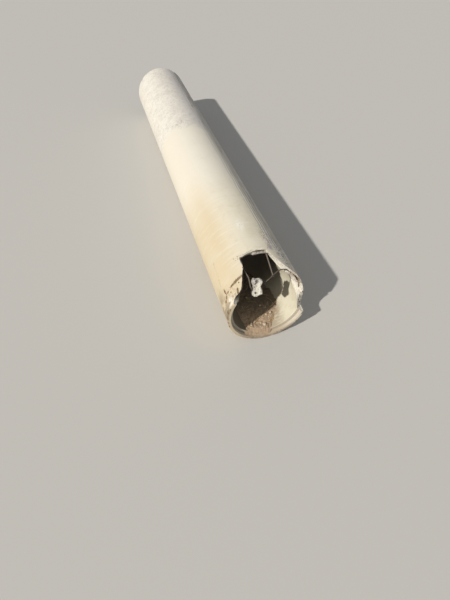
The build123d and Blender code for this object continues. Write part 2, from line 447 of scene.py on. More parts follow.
stroke, given, result = group("stroke", [("Place", PLACE), ("Start", PLACE), ("Run", PLACE)], "Distance")
flattened = add(stroke, "VectorMath", TIMES, {0: given["Place"], 1: (1, 1, 0)})
offset = add(stroke, "VectorMath", MINUS, {0: flattened, 1: given["Start"]})
projected = add(stroke, "VectorMath", {"operation": "DOT_PRODUCT"}, {0: offset, 1: given["Run"]})
squared = add(stroke, "VectorMath", {"operation": "DOT_PRODUCT"}, {0: given["Run"], 1: given["Run"]})
share = add(stroke, "Math", {"operation": "DIVIDE", "use_clamp": True}, {0: projected, 1: squared})
nearest = add(stroke, "VectorMath", {"operation": "SCALE"}, {0: given["Run"], "Scale": share})
apart = add(stroke, "VectorMath", {"operation": "DISTANCE"}, {0: offset, 1: nearest})
stroke.links.new(apart.outputs["Value"], result[0])
print("node groups:", [g.name for g in bpy.data.node_groups])

# %% [markdown]
# Every finish below is painted the way a scene painter would: a ground tone, then thin layers of blotches,
# each with its grain in millimetres, the share of the surface it takes and its colour. Another tone can be laid
# over it in two ways: in one soft patch of the unrolled pipe, or between limits, such as from here along.

# %% Layers and patches
SKIN = OUTSIDE / MM
ANY_DEPTH = 1000


def layered(tree, place, tone, layers):
    """Paints layers of (grain in mm, detail, low, high, most, colour) over a tone and returns the new tone."""
    for grain, detail, low, high, most, tint in layers:
        settings = {"Grain": grain * MM, "Detail": detail, "Low": low, "High": high, "Most": most}
        amount = add(tree, "Group", {"node_tree": blotches}, {"Place": place, **settings})
        tone = add(tree, "Mix", TINT, {0: amount, 6: tone, 7: colour(tint)})
    return tone


def patched(tree, on_flat, tone, middle, reach, other, limit=None):
    """Lays another tone over this one in a patch, as far as the limit lets it, and returns the new tone.

    The middle is an angle, a distance along and a radius, and the reach is round, along and deep, in mm.
    """
    angle, along, radius = middle
    middle = (radians(angle) * OUTSIDE, along * MM, radius * MM)
    reach = tuple(part * MM for part in reach)
    amount = add(tree, "Group", {"node_tree": patch}, {"Place": on_flat, "Middle": middle, "Reach": reach})
    if limit is not None:
        amount = add(tree, "Math", TIMES, {0: amount, 1: limit})
    return add(tree, "Mix", TINT, {0: amount, 6: tone, 7: other})


def shaded(tree, tone, other, limits):
    """Lays another tone over this one where all the limits hold, and returns the new tone.

    Each limit is a measure with the two lengths in mm between which its amount goes from least to most.
    """
    amount = None
    for measure, start, end, least, most in limits:
        step = add(tree, "MapRange", STEP, {0: measure, 1: start * MM, 2: end * MM, 3: least, 4: most})
        amount = step if amount is None else add(tree, "Math", TIMES, {0: amount, 1: step})
    return add(tree, "Mix", TINT, {0: amount, 6: tone, 7: other})


def paint(tree, shader, tone, height=None, strength=0, deep=0):
    """Gives a shader its tone and, where a height is given, relief this strong and this many mm deep."""
    tree.links.new(tone.outputs[2], shader.inputs["Base Color"])
    if height is not None:
        bump = add(tree, "Bump", inputs={"Strength": strength, "Distance": deep * MM, "Height": height})
        tree.links.new(bump.outputs[0], shader.inputs["Normal"])


def plain_finish(name, roughness, base, layers):
    """A matt finish of a base colour under layers of blotches."""
    material, tree, shader = new_material(name, roughness)
    paint(tree, shader, layered(tree, add(tree, "TexCoord").outputs["Object"], colour(base), layers))
    return material


# %% [markdown]
# ### Weathered cast concrete
# The skin of a cast pipe is cement paste: matt, cream to buff, nearly smooth, with faint clouds and swirls
# from the mould. Cement has an IOR of about 1.5 and a roughness near 0.9. The left flank is painted warmer,
# which is painted light where the key light falls full on it, and half a metre from the mouth the skin turns
# paler. Beyond about 1.4 m the paste has weathered away and the sand and small stones show, so that part is
# greyer and grainier. Sand is about 2 mm and the stones 5 to 8 mm, drawn up to twice as coarse there so that
# they show at this distance.

# %% Cast concrete: the cream skin
CREAM = "eee5cf"
# Painted light: the left flank is made warmer where the key light falls full on it.
WARM_LIT_FLANK = "dccbaa"
FURTHER_CREAM = "efe9dc"
WARM_FROM, WARM_WHOLE = -30, -150
FURTHER_FROM, FURTHER_WHOLE = 450, 950
DRAWN_ROUND = (0.13, 1, 0.3)
CREAM_LAYERS = (
    (150, 4, 0.40, 0.66, 0.40, "dfd4bb"), (38, 5, 0.52, 0.74, 0.30, "d6c8a9"), (9, 4, 0.56, 0.70, 0.25, "d9ccb0"),
)
SWIRL_LAYERS = ((15, 3, 0.52, 0.72, 0.20, "f8f3e6"), (10, 3, 0.60, 0.78, 0.14, "cdbfa1"))

cast, tree, shader = new_material("weathered_cast_concrete", 0.9)
shader.inputs["IOR"].default_value = 1.5
solid = add(tree, "TexCoord").outputs["Object"]
on_flat = add(tree, "Group", {"node_tree": unrolled})
arc, along, radius = add(tree, "SeparateXYZ", inputs={0: on_flat}).outputs
height = add(tree, "SeparateXYZ", inputs={0: solid}).outputs["Z"]
tone = shaded(tree, colour(CREAM), colour(WARM_LIT_FLANK), [(arc, WARM_FROM, WARM_WHOLE, 0, 1)])
tone = layered(tree, solid, tone, CREAM_LAYERS)
swirled = add(tree, "VectorMath", TIMES, {0: on_flat, 1: DRAWN_ROUND})
tone = layered(tree, swirled, tone, SWIRL_LAYERS)
tone = shaded(tree, tone, colour(FURTHER_CREAM), [(along, FURTHER_FROM, FURTHER_WHOLE, 0, 0.7)])
print("cream skin:", len(tree.nodes), "nodes")

# %% Cast concrete: the weathered far part
FAR_LAYERS = (
    (70, 5, 0.44, 0.64, 0.50, "d6cfc3"), (22, 5, 0.50, 0.66, 0.40, "c8c0b4"), (9, 3, 0.52, 0.66, 0.40, "bab1a5"),
)
SPECKLES = ((8, 3, 0.55, 0.66, 0.80, "f3eee2"), (13, 4, 0.62, 0.72, 0.35, "ddd09f"))
SCRATCHES = ((11, 4, 0.50, 0.62, 0.55, "948b7f"),)
FAR_GROUND, FAR_GROUND_RIGHT = "ece6da", "dbd5d2"
FAR_FROM, FAR_WHOLE = 1380 * MM, 1470 * MM
EDGE_LEANS = 0.30
EDGE_STRAIGHT_LEFT_OF = -100 * MM
EDGE_RAGGED = 50 * MM

leans = add(tree, "Math", TIMES, {0: add(tree, "Math", LARGER, {0: arc, 1: EDGE_STRAIGHT_LEFT_OF}), 1: EDGE_LEANS})
ragged = add(tree, "Group", {"node_tree": blotches}, {
    "Place": solid, "Grain": 60 * MM, "Detail": 4, "Low": 0.2, "High": 0.8, "Most": EDGE_RAGGED})
edge = add(tree, "Math", PLUS, {0: add(tree, "Math", PLUS, {0: along, 1: leans}), 1: ragged})
far_part = add(tree, "MapRange", STEP, {0: edge, 1: FAR_FROM, 2: FAR_WHOLE})
grey = shaded(tree, colour(FAR_GROUND), colour(FAR_GROUND_RIGHT), [(arc, -40, 90, 0, 0.8)])
grey = layered(tree, solid, grey, FAR_LAYERS)
grey = shaded(tree, grey, layered(tree, solid, grey, SPECKLES), [(arc, 50, -50, 0.25, 1)])
scratched = layered(tree, solid, grey, SCRATCHES)
grey = patched(tree, on_flat, grey, (-15, 1450, SKIN), (50, 80, ANY_DEPTH), scratched)
tone = add(tree, "Mix", TINT, {0: far_part, 6: tone, 7: grey})
print("with the far part:", len(tree.nodes), "nodes")

# %% [markdown]
# The mould was in two halves, and its seam left a pale line along the right shoulder with a dull line on each
# side: partly the seam's own colour, and partly painted highlight and painted shade on the low ridge it left.
# Below the line the skin is greyer, which is painted shade on the flank that turns from the key light. Dark
# lichen and a lilac rust stain lie along the seam by the break.

# %% Cast concrete: seam and flank
# Partly painted light: the pale and dull lines stand partly for highlight and shade on the seam's low ridge.
SEAM_LINES_AND_RIDGE_LIGHT = (
    # arc from the seam and half width in mm, amount, colour
    (-7.0, 5.0, 0.60, "aca391"), (0.0, 4.5, 0.85, "fbf7ee"), (7.0, 4.0, 0.65, "978f83"),
    (16.0, 4.0, 0.45, "efebe2"), (25.0, 5.0, 0.40, "a49d92"), (38.0, 6.0, 0.45, "e9e5dc"),
    (52.0, 6.0, 0.35, "9d968b"), (68.0, 8.0, 0.35, "e2ded5"),
)
SEAM_ANGLE = 29.3
SEAM_WANDERS = 8 * MM
# Painted shade: the flank right of the seam is made greyer where it turns from the key light.
FLANK_GREY_SHADE = "c9c4ba"
STREAK_LAYERS = ((12, 4, 0.50, 0.60, 0.90, "f1ede4"), (9, 4, 0.50, 0.60, 0.85, "7c746a"))
outer_skin = add(tree, "MapRange", STEP, {0: radius, 1: OUTSIDE - 4 * MM, 2: OUTSIDE - 2 * MM})
wander = add(tree, "Group", {"node_tree": blotches}, {
    "Place": add(tree, "VectorMath", TIMES, {0: on_flat, 1: (0.3, 1, 0)}),
    "Grain": 180 * MM, "Detail": 3, "Low": 0.3, "High": 0.7, "Most": SEAM_WANDERS})
wandered = add(tree, "Math", PLUS, {0: arc, 1: wander})
from_seam = add(tree, "Math", MINUS, {0: wandered, 1: radians(SEAM_ANGLE) * OUTSIDE})
flank = add(tree, "MapRange", STEP, {0: from_seam, 1: -4 * MM, 2: 22 * MM, 4: 0.5})
painted = add(tree, "Mix", TINT, {0: flank, 6: tone, 7: colour(FLANK_GREY_SHADE)})
drawn_along = add(tree, "VectorMath", TIMES, {0: on_flat, 1: (1, 0.05, 0.3)})
worn = add(tree, "Group", {"node_tree": blotches}, {
    "Place": drawn_along, "Grain": 12 * MM, "Detail": 3, "Low": 0.25, "High": 0.55, "Most": 1.0})
for place, half_width, most, tint in SEAM_LINES_AND_RIDGE_LIGHT:
    apart = add(tree, "Math", MINUS, {0: from_seam, 1: place * MM})
    apart = add(tree, "Math", {"operation": "ABSOLUTE"}, {0: apart})
    line = add(tree, "MapRange", STEP, {0: apart, 1: half_width * MM, 2: 0.0, 4: most})
    line = add(tree, "Math", TIMES, {0: line, 1: worn})
    painted = add(tree, "Mix", TINT, {0: line, 6: painted, 7: colour(tint)})
above_break = add(tree, "MapRange", STEP, {0: along, 1: 190 * MM, 2: 260 * MM})
seam_amount = add(tree, "Math", TIMES, {0: above_break, 1: outer_skin})
tone = add(tree, "Mix", TINT, {0: seam_amount, 6: tone, 7: painted})
right_flank = add(tree, "Math", TIMES, {0: flank, 1: outer_skin})
streaked = layered(tree, drawn_along, tone, STREAK_LAYERS)
tone = add(tree, "Mix", TINT, {0: right_flank, 6: tone, 7: streaked})
print("with the seam:", len(tree.nodes), "nodes")

# %% Cast concrete: stains
STAINS = (
    # angle, distance along, reach round and along in mm, layer
    (26, 285, 40, 150, (10, 5, 0.47, 0.62, 0.60, "9d9294")), (21, 300, 14, 70, (7, 4, 0.48, 0.58, 0.55, "9a7f66")),
    (35, 175, 45, 110, (13, 5, 0.45, 0.60, 0.60, "8f8780")), (-4, 375, 26, 60, (11, 4, 0.40, 0.55, 0.70, "fbf8ef")),
    (-86, 25, 80, 170, (24, 5, 0.30, 0.55, 0.85, "97866f")), (-76, 8, 60, 45, (9, 5, 0.35, 0.55, 0.85, "857763")),
    (42, 150, 60, 150, (11, 5, 0.48, 0.58, 0.85, "f9f5ec")), (40, 200, 60, 150, (8, 5, 0.52, 0.61, 0.75, "655f56")),
    (-66, 45, 50, 100, (13, 5, 0.42, 0.60, 0.60, "bba384")), (-50, 40, 45, 60, (12, 5, 0.42, 0.60, 0.55, "b8a48a")),
    (-60, 40, 60, 80, (7, 4, 0.56, 0.66, 0.60, "f5edda")),
)
for angle, place, reach_round, reach_along, layer in STAINS:
    middle, reach = (angle, place, SKIN), (reach_round, reach_along, ANY_DEPTH)
    tone = patched(tree, on_flat, tone, middle, reach, layered(tree, solid, tone, [layer]), outer_skin)
print("with stains:", len(tree.nodes), "nodes")

# %% [markdown]
# Cracks and runs of rust are strokes on the unrolled skin, and so is one band of painted shadow in the hollow
# on the left rim. A little noise is added to their distance, so that they fray, and they fade across their
# width instead of ending sharply.

# %% Cast concrete: cracks and runs
STROKES_AND_SHADOW = (
    # points as angle and distance along in mm, half width in mm, amount, colour
    (((-66.2, 274), (-67.3, 246)), 8, 0.50, "a89877"), (((-64.6, 276), (-65.2, 262)), 5, 0.30, "b5a582"),
    (((-67.2, 232), (-68.4, 168)), 6, 0.40, "b7a27c"), (((-69.0, 176), (-70.5, 140)), 8, 0.50, "ab9672"),
    (((-44.0, 84.5), (-54.0, 79.5)), 22, 0.80, "a98d6c"), (((-30.0, 88.5), (-48.0, 83)), 17, 0.90, "7d6a53"),
    (((36.0, 264), (42.0, 165)), 13, 0.75, "f6f3ec"), (((33.0, 225), (36.5, 130)), 11, 0.70, "f6f3ec"),
    (((-66.7, 108), (-65.6, 73)), 13.0, 0.80, "9c7f5c"), (((-59.0, 75), (-65.6, 72)), 11.0, 0.70, "a58963"),
    (((-66.6, 68), (-68.1, 58), (-72.8, 56)), 12.0, 0.90, "6b5138"),
    # Painted shadow: the second stroke on the next line, from -60 to -70 degrees, darkens the hollow on the left rim.
    (((-44.9, 48), (-46.8, 18)), 8.0, 0.90, "665947"), (((-60.0, 26), (-70.0, 27)), 13.0, 0.70, "8a7b66"),
    (((31.0, 420), (31.1, 316), (32.4, 262)), 3.0, 0.60, "7c736a"), (((32.4, 262), (41.0, 212)), 3.5, 0.65, "6c635b"),
    (((41.0, 212), (45.0, 140), (45.5, 75)), 4.0, 0.70, "6a6158"), (((22.0, 232), (17.5, 196)), 4.5, 0.60, "8d8088"),
    (((-24.6, 196), (-28.5, 187)), 4.0, 0.70, "8d7a62"), (((5.0, 205), (12.0, 212)), 5.0, 0.45, "ada08b"),
    (((-24.0, 189), (-14.0, 191), (-5.0, 195)), 10.0, 0.75, "b3a995"),
)
FRAYED_SHARE = 0.7
for points, half_width, most, tint in STROKES_AND_SHADOW:
    closest = None
    for (a0, y0), (a1, y1) in zip(points, points[1:]):
        start = Vector((radians(a0) * OUTSIDE, y0 * MM, 0))
        run = Vector((radians(a1) * OUTSIDE, y1 * MM, 0)) - start
        distance = add(tree, "Group", {"node_tree": stroke}, {"Place": on_flat, "Start": start, "Run": run})
        closest = distance if closest is None else add(tree, "Math", SMALLER, {0: closest, 1: distance})
    frayed = add(tree, "Group", {"node_tree": blotches}, {
        "Place": solid, "Grain": 7 * MM, "Detail": 3, "Low": 0.3, "High": 0.7,
        "Most": half_width * FRAYED_SHARE * MM})
    closest = add(tree, "Math", PLUS, {0: closest, 1: frayed})
    mark = add(tree, "MapRange", STEP, {0: closest, 1: half_width * MM, 2: 0.0, 4: most})
    mark = add(tree, "Math", TIMES, {0: mark, 1: outer_skin})
    tone = add(tree, "Mix", TINT, {0: mark, 6: tone, 7: colour(tint)})
print("with cracks:", len(tree.nodes), "nodes")

# %% [markdown]
# The last marks on the outside are single spots: pits with dirt in them, a pale scab left of the opening with
# brown spots of painted shadow round it, a pale patch where the rim is worn, dull lichen at the crown, and
# lilac spots beside the seam.

# %% Cast concrete: spots
SPOTS_AND_SHADOWS = (
    # angle, distance along, reach round and along in mm, amount, colour
    # Painted shadow: the four brown spots round the pale scab at -29.8 degrees stand for its shadows.
    (-29.8, 190, 5, 6, 0.95, "fffaf0"), (-33.0, 195, 4, 6, 0.70, "a5917a"), (-27.6, 180, 4, 5, 0.70, "8f7c66"),
    (-31.2, 181, 5, 4, 0.55, "ab9880"), (-27.0, 196, 4, 4, 0.70, "94826b"), (-55.8, 34, 5, 6, 0.80, "7a6c58"),
    (-56.0, 56, 4, 5, 0.60, "94856e"), (-39.6, 67, 4, 6, 0.60, "8f7f69"), (-61.4, 45, 5, 4, 0.50, "9b8b74"),
    (-51.0, 30, 9, 12, 0.60, "9a927f"), (-62.8, 14, 36, 12, 0.80, "f6eddc"), (0.5, 188, 9, 9, 0.75, "87856f"),
    (7.3, 193, 7, 5, 0.90, "fffbee"), (10.5, 180, 6, 5, 0.60, "948a79"), (-6.0, 196, 12, 5, 0.45, "b5ab97"),
    (-15.0, 187, 26, 7, 0.60, "b7ae9c"), (22.7, 207, 17, 30, 0.60, "8a7e93"), (25.4, 251, 11, 34, 0.45, "9a8fa0"),
    (31.1, 1735, 9, 16, 0.80, "5f5a55"),
)
for angle, place, reach_round, reach_along, most, tint in SPOTS_AND_SHADOWS:
    middle, reach = (angle, place, SKIN), (reach_round, reach_along, ANY_DEPTH)
    limit = add(tree, "Math", TIMES, {0: outer_skin, 1: most})
    tone = patched(tree, on_flat, tone, middle, reach, colour(tint), limit)
print("with spots:", len(tree.nodes), "nodes")

# %% [markdown]
# Soil stains what lay on the ground. The rim and the bottom of the bore by the mouth are brown. To the left the
# bore by the mouth is painted dark, which is painted shade, and deeper in it is painted paler, which is painted
# light that lifts the dark inside. The right side near the mouth, where the key light reaches in through the
# break, is pale: partly clean concrete and partly a painted pool of light. The socket's step is painted pale,
# which is painted light on a face in shade, with a thin line of dirt in its corner.

# %% Cast concrete: bore, rim and soil
# Painted shade and light: the near silt is dark where the bore lies in shade, the deep silt pale to lift the dark
# inside, and the clean bore pale where the key light falls in.
NEAR_SILT_SHADE, DEEP_SILT_LIGHT, CLEAN_BORE_LIGHT = "6f6656", "c6c1b4", "e5ddc5"
SOIL_APRON, PALE_STEP_LIGHT, CORNER_DIRT, GROUND_DIRT, WORN_RIM = "a08c74", "d0c5b5", "6d6451", "b3a289", "a3907a"
BORE_LAYERS = ((60, 5, 0.45, 0.68, 0.35, "c9bc9b"), (14, 4, 0.55, 0.70, 0.30, "bfb28f"))
RIM_LAYERS = ((16, 4, 0.48, 0.60, 0.65, "7d6c58"), (9, 4, 0.56, 0.66, 0.60, "c9bba3"))
INNER_FACE, SOCKET_FACE, STEP_PLACE = BORE / MM, SOCKET / MM, SOCKET_DEPTH / MM

silt_and_shade = shaded(tree, colour(NEAR_SILT_SHADE), colour(DEEP_SILT_LIGHT), [(along, 250, 600, 0, 1)])
clean_and_lit = layered(tree, solid, colour(CLEAN_BORE_LIGHT), BORE_LAYERS)
inside = patched(tree, on_flat, silt_and_shade, (118, 60, INNER_FACE), (310, 360, ANY_DEPTH), clean_and_lit)
washed_up = add(tree, "Group", {"node_tree": blotches}, {
    "Place": add(tree, "VectorMath", TIMES, {0: on_flat, 1: (0.35, 1, 1)}),
    "Grain": 12 * MM, "Detail": 4, "Low": 0.25, "High": 0.60, "Most": 0.9})
apron = colour(SOIL_APRON)
inside = patched(tree, on_flat, inside, (154, 120, INNER_FACE), (80, 160, ANY_DEPTH), apron, washed_up)
# Painted light: the socket's step is made pale though it lies in shade.
inside = shaded(tree, inside, colour(PALE_STEP_LIGHT), [
    (along, STEP_PLACE + 2, STEP_PLACE + 0.5, 0, 0.8), (radius, INNER_FACE + 1, INNER_FACE + 3, 0, 1)])
inside = shaded(tree, inside, colour(CORNER_DIRT), [
    (along, STEP_PLACE - 7, STEP_PLACE - 2, 0, 1), (radius, SOCKET_FACE - 4, SOCKET_FACE - 1, 0, 0.55)])
tone = shaded(tree, tone, inside, [(radius, SOCKET_FACE + 2, SOCKET_FACE + 1, 0, 1)])
low_down = add(tree, "MapRange", STEP, {0: height, 1: 70 * MM, 2: 5 * MM})
soiled = add(tree, "Group", {"node_tree": blotches}, {
    "Place": solid, "Grain": 34 * MM, "Detail": 5, "Low": 0.30, "High": 0.56, "Most": 0.85})
soiled = add(tree, "Math", TIMES, {0: low_down, 1: soiled})
tone = add(tree, "Mix", TINT, {0: soiled, 6: tone, 7: colour(GROUND_DIRT)})
rim = layered(tree, solid, colour(WORN_RIM), RIM_LAYERS)
tone = shaded(tree, tone, rim, [(along, 5, 0, 0, 1), (height, 90, 20, 0.2, 0.8)])
print("with the bore:", len(tree.nodes), "nodes")

# %% [markdown]
# The relief is fine: sand grit all over, soft waves from the mould and coarse grit on the far part. It is too
# small to model, so a bump node carries it.

# %% Cast concrete: relief
grit = add(tree, "TexNoise", inputs={0: solid, 2: 1 / (4 * MM), 3: 4, 4: 0.7})
waves = add(tree, "TexNoise", inputs={0: solid, 2: 1 / (45 * MM), 3: 3, 4: 0.5})
sand = add(tree, "TexVoronoi", inputs={0: solid, 2: 1 / (8 * MM)})
deep_waves = add(tree, "Math", TIMES, {0: waves, 1: 1.6})
low_grit = add(tree, "Math", TIMES, {0: grit, 1: 0.4})
relief = add(tree, "Math", PLUS, {0: deep_waves, 1: low_grit})
bare_sand = add(tree, "Math", TIMES, {0: sand, 1: far_part})
relief = add(tree, "Math", MINUS, {0: relief, 1: bare_sand})
paint(tree, shader, tone, relief, 0.5, 1.2)
print("cast concrete:", len(tree.nodes), "nodes")

# %% [markdown]
# ### Fractured concrete
# A break is paler than the skin and shows what concrete is: crushed stones of 6 to 12 mm in sandy paste, with
# dark hollows where stones fell out, and rust where the wires ran. Where the break overhangs on the left and
# under the crown's edge, its face is painted dark: painted shade, with some dirt at the crown. It is all rough,
# so roughness is 0.95.

# %% Fractured concrete
TORN_LAYERS = (
    (22, 5, 0.42, 0.62, 0.60, "f6f1e6"), (11, 4, 0.52, 0.64, 0.65, "b9ad98"), (7, 4, 0.60, 0.71, 0.75, "7d715e"),
    (45, 5, 0.60, 0.74, 0.35, "b08a5f"),
)
TORN_STAINS_AND_SHADE = (
    # angle, distance along, radius, reach round, along and deep in mm, layer
    (54, 84, 168, 60, 26, 30, (9, 5, 0.42, 0.58, 0.80, "8a6547")),
    (66, 70, 176, 30, 20, 10, (8, 5, 0.40, 0.55, 0.85, "6d5c49")),
    (92, 55, 172, 30, 24, 16, (8, 5, 0.45, 0.58, 0.80, "6f6555")),
    # Painted shade: the next two darken the overhanging left face of the break, which lies in shade.
    (-48, 30, 166, 46, 70, 44, (14, 5, 0.05, 0.25, 1.00, "352b22")),
    (-34, 90, 168, 60, 120, 100, (14, 5, 0.10, 0.30, 0.95, "3c3026")),
    (72, 84, 172, 60, 30, 14, (9, 5, 0.45, 0.58, 0.70, "7d5f45")),
    # Partly painted shade: the next two darken the crown's broken face under the skin's edge and behind the edge
    # wire, partly dirt there.
    (-16, 195, 160, 45, 30, 16, (14, 5, 0.15, 0.40, 0.90, "5d5446")),
    (4, 193, 176, 44, 18, 13, (14, 5, 0.10, 0.30, 0.95, "544b3e")),
    (-17, 55, 148, 40, 40, 24, (9, 4, 0.25, 0.55, 0.65, "b3aeae")),
    (98, 40, 168, 50, 40, 20, (8, 5, 0.50, 0.60, 0.80, "75695a")),
    (44, 60, 168, 24, 40, 12, (7, 5, 0.50, 0.60, 0.80, "6f5137")),
)
FRESH_BREAK, DARK_STONE, PALE_STONE = "e9e2d1", "b7ac98", "efe9dc"

torn, tree, shader = new_material("fractured_concrete", 0.95)
shader.inputs["IOR"].default_value = 1.5
solid = add(tree, "TexCoord").outputs["Object"]
on_flat = add(tree, "Group", {"node_tree": unrolled})
tone = layered(tree, solid, colour(FRESH_BREAK), TORN_LAYERS)
pebbles = add(tree, "TexVoronoi", inputs={0: solid, 2: 1 / (11 * MM)})
stone_shade = add(tree, "SeparateColor", inputs={0: pebbles.outputs["Color"]})
stone_tone = add(tree, "Mix", TINT, {0: stone_shade, 6: colour(DARK_STONE), 7: colour(PALE_STONE)})
is_stone = add(tree, "MapRange", STEP, {0: pebbles, 1: 0.42, 2: 0.30, 4: 0.5})
tone = add(tree, "Mix", TINT, {0: is_stone, 6: tone, 7: stone_tone})
for angle, place, depth, reach_round, reach_along, reach_deep, layer in TORN_STAINS_AND_SHADE:
    middle, reach = (angle, place, depth), (reach_round, reach_along, reach_deep)
    tone = patched(tree, on_flat, tone, middle, reach, layered(tree, solid, tone, [layer]))
grit = add(tree, "TexNoise", inputs={0: solid, 2: 1 / (6 * MM), 3: 5, 4: 0.75})
low_pebbles = add(tree, "Math", TIMES, {0: pebbles, 1: 0.5})
relief = add(tree, "Math", MINUS, {0: grit, 1: low_pebbles})
paint(tree, shader, tone, relief, 0.8, 2)
print("fractured concrete:", len(tree.nodes), "nodes")

# %% Rust and dirt in old chips, painted shade in the lump's hollows
DIRTY_CHIPS = ((9, 4, 0.48, 0.64, 0.50, "bda98a"), (5, 4, 0.52, 0.66, 0.60, "5c4c3b"))
# Painted shade: the lump's hollows get a dark grey finish that stands for the shade in them.
PAINTED_SHADE_HOLLOWS = ((9, 4, 0.48, 0.64, 0.50, "a39c90"), (5, 4, 0.52, 0.66, 0.60, "534c44"))
stained = plain_finish("dirty_chipped_concrete", 0.95, "857259", DIRTY_CHIPS)
hollow_shade_finish = plain_finish("painted_shade_hollow_concrete", 0.95, "7b746a", PAINTED_SHADE_HOLLOWS)
print("finishes for old chips:", stained.name, hollow_shade_finish.name)

# %% [markdown]
# ### Rusted drawn wire
# The cage is hard drawn steel wire. Bare in the weather it turns dull greyish brown, with a little orange
# bloom. Cement dust lies on the upper faces of the lengthwise wires, the ring wire in the edge still has its
# coat of cement, and the bent ring wire is bare. The pale coat is partly painted light, as the key light falls
# full on that wire, and the bare wire is kept dark partly as painted shade, as it lies in shade. Rust isn't a
# metal to the eye, so it has no metallic, and a roughness of 0.85.

# %% Rusted wire
WIRE_BROWN, GREY_DUST, PALE_CEMENT = "51473c", "a9a296", "d2ccc2"
WIRE_LAYERS = (
    (12, 4, 0.42, 0.62, 0.60, "6a5f53"), (6, 4, 0.60, 0.72, 0.30, "7d5739"), (20, 3, 0.56, 0.70, 0.30, "807668"),
)


def wire_finish(name, most_dust, dust_colour):
    """Rusted wire with up to this much dust, of this colour, on the faces that look up."""
    material, tree, shader = new_material(name, 0.85)
    solid = add(tree, "TexCoord").outputs["Object"]
    tone = layered(tree, solid, colour(WIRE_BROWN), WIRE_LAYERS)
    facing = add(tree, "SeparateXYZ", inputs={0: add(tree, "NewGeometry").outputs["Normal"]}).outputs["Z"]
    dust = add(tree, "MapRange", STEP, {0: facing, 1: 0.50, 2: 1.0, 4: most_dust})
    tone = add(tree, "Mix", TINT, {0: dust, 6: tone, 7: colour(dust_colour)})
    scale = add(tree, "TexNoise", inputs={0: solid, 2: 1 / (1.6 * MM), 3: 4, 4: 0.7})
    paint(tree, shader, tone, scale, 0.7, 0.4)
    return material


# Partly painted light and shade: the bare finish goes on the bent wire in shade, the coated one on the edge wire in
# full light.
bare_and_shaded, dusty, coated_and_lit = [wire_finish(*choice) for choice in (
    ("rusted_drawn_wire_shaded", 0.0, GREY_DUST), ("dusty_drawn_wire", 0.4, GREY_DUST),
    ("cement_coated_wire_lit", 0.9, PALE_CEMENT))]
WIRE_FINISHES = {
    "hoop_wire_bent": bare_and_shaded, "long_wire_left": dusty, "long_wire_right": dusty, "hoop_wire_edge": coated_and_lit,
}
print("wire finishes:", {node: finish.name for node, finish in WIRE_FINISHES.items()})

# %% [markdown]
# ### Dried silt, gravel and straw
# The soil that washed into the mouth is dry brown silt with grit in it. From 40 mm in it is painted duller and
# darker, which is painted shade where it lies in shade. The gravel is river stone, pale with dust, and the
# straw is dead grass, yellow to grey. All of it is matt.

# %% Soil, stones and straw
DRY_SILT, DULL_SILT_SHADE, GRAVEL, STRAW = "b89f84", "7b7060", "d8c6ae", "cdb48a"
SILT_LAYERS = (
    (40, 5, 0.42, 0.62, 0.50, "c0a789"), (12, 5, 0.52, 0.66, 0.55, "86705a"), (5, 4, 0.55, 0.66, 0.60, "dcc6a8"),
)
GRAVEL_LAYERS = ((9, 4, 0.45, 0.62, 0.7, "a8957e"), (4, 4, 0.56, 0.68, 0.6, "efe4d4"))
STRAW_LAYERS = ((18, 4, 0.45, 0.62, 0.7, "9b8463"), (30, 3, 0.55, 0.68, 0.6, "e6d6b4"))

soil_finish, tree, shader = new_material("dried_silt", 0.95)
solid = add(tree, "TexCoord").outputs["Object"]
near = layered(tree, solid, colour(DRY_SILT), SILT_LAYERS)
along = add(tree, "SeparateXYZ", inputs={0: add(tree, "Group", {"node_tree": unrolled})}).outputs["Y"]
# Painted shade: the soil turns duller and darker from 40 mm in, where it lies in shade.
tone = shaded(tree, near, colour(DULL_SILT_SHADE), [(along, 40, 190, 0, 0.9)])
grit = add(tree, "TexNoise", inputs={0: solid, 2: 1 / (5 * MM), 3: 5, 4: 0.75})
paint(tree, shader, tone, grit, 0.9, 2)

stone_finish = plain_finish("dusty_river_gravel", 0.85, GRAVEL, GRAVEL_LAYERS)
straw_finish = plain_finish("dead_grass_stems", 0.8, STRAW, STRAW_LAYERS)
print("materials:", [m.name for m in bpy.data.materials])

# %% [markdown]
# ## Breaking the barrel
# Now the cuts. The exact solver is slower than the fast one, and it is the one that copes with a torn sheet
# of thousands of faces. It needs to be told when the cutter's own parts overlap, as the lump's hollows do.
# Afterwards shading is smooth except across corners, so the round stays round and the fracture stays crisp.

# %% Cut the break and the chips
CRISP = radians(35)
ROUGH = radians(50)


def cut_away(piece, cutter, finish, overlapping=False):
    """Takes the cutter out of the piece, leaves this finish on the new faces, and removes the cutter."""
    cutter.data.materials.append(finish)
    cut = piece.modifiers.new("cut", "BOOLEAN")
    cut.operation = "DIFFERENCE"
    cut.solver = "EXACT"
    cut.use_self = overlapping
    cut.material_mode = "TRANSFER"
    cut.object = cutter
    apply_all(piece)
    bpy.data.objects.remove(cutter)


barrel.data.materials.append(cast)
cut_away(barrel, missing, torn)
cut_away(barrel, chips, torn)
cut_away(barrel, grooves, stained)
pick(barrel)
bpy.ops.object.shade_smooth_by_angle(angle=CRISP)
print("broken barrel:", len(barrel.data.polygons), "faces,", [m.name for m in barrel.data.materials])

# %% [markdown]
# ## The lump and the wires
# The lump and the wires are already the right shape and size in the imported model, so each is copied. The
# copy is merged, covered with an even skin of small faces by a voxel remesh, and roughened: coarsely for
# broken concrete, and finely for rust scale on the wires. The lump also loses its hollows here.

# %% Copy, remesh and roughen
TORN_GRAINS = ((20 * MM, 3 * MM), (8 * MM, 3 * MM), (3 * MM, 1.6 * MM))
SCALE_GRAINS = ((6 * MM, 0.5 * MM), (1.8 * MM, 0.4 * MM))
TORN_SKIN = 1.2 * MM
WIRE_SKIN = 0.8 * MM


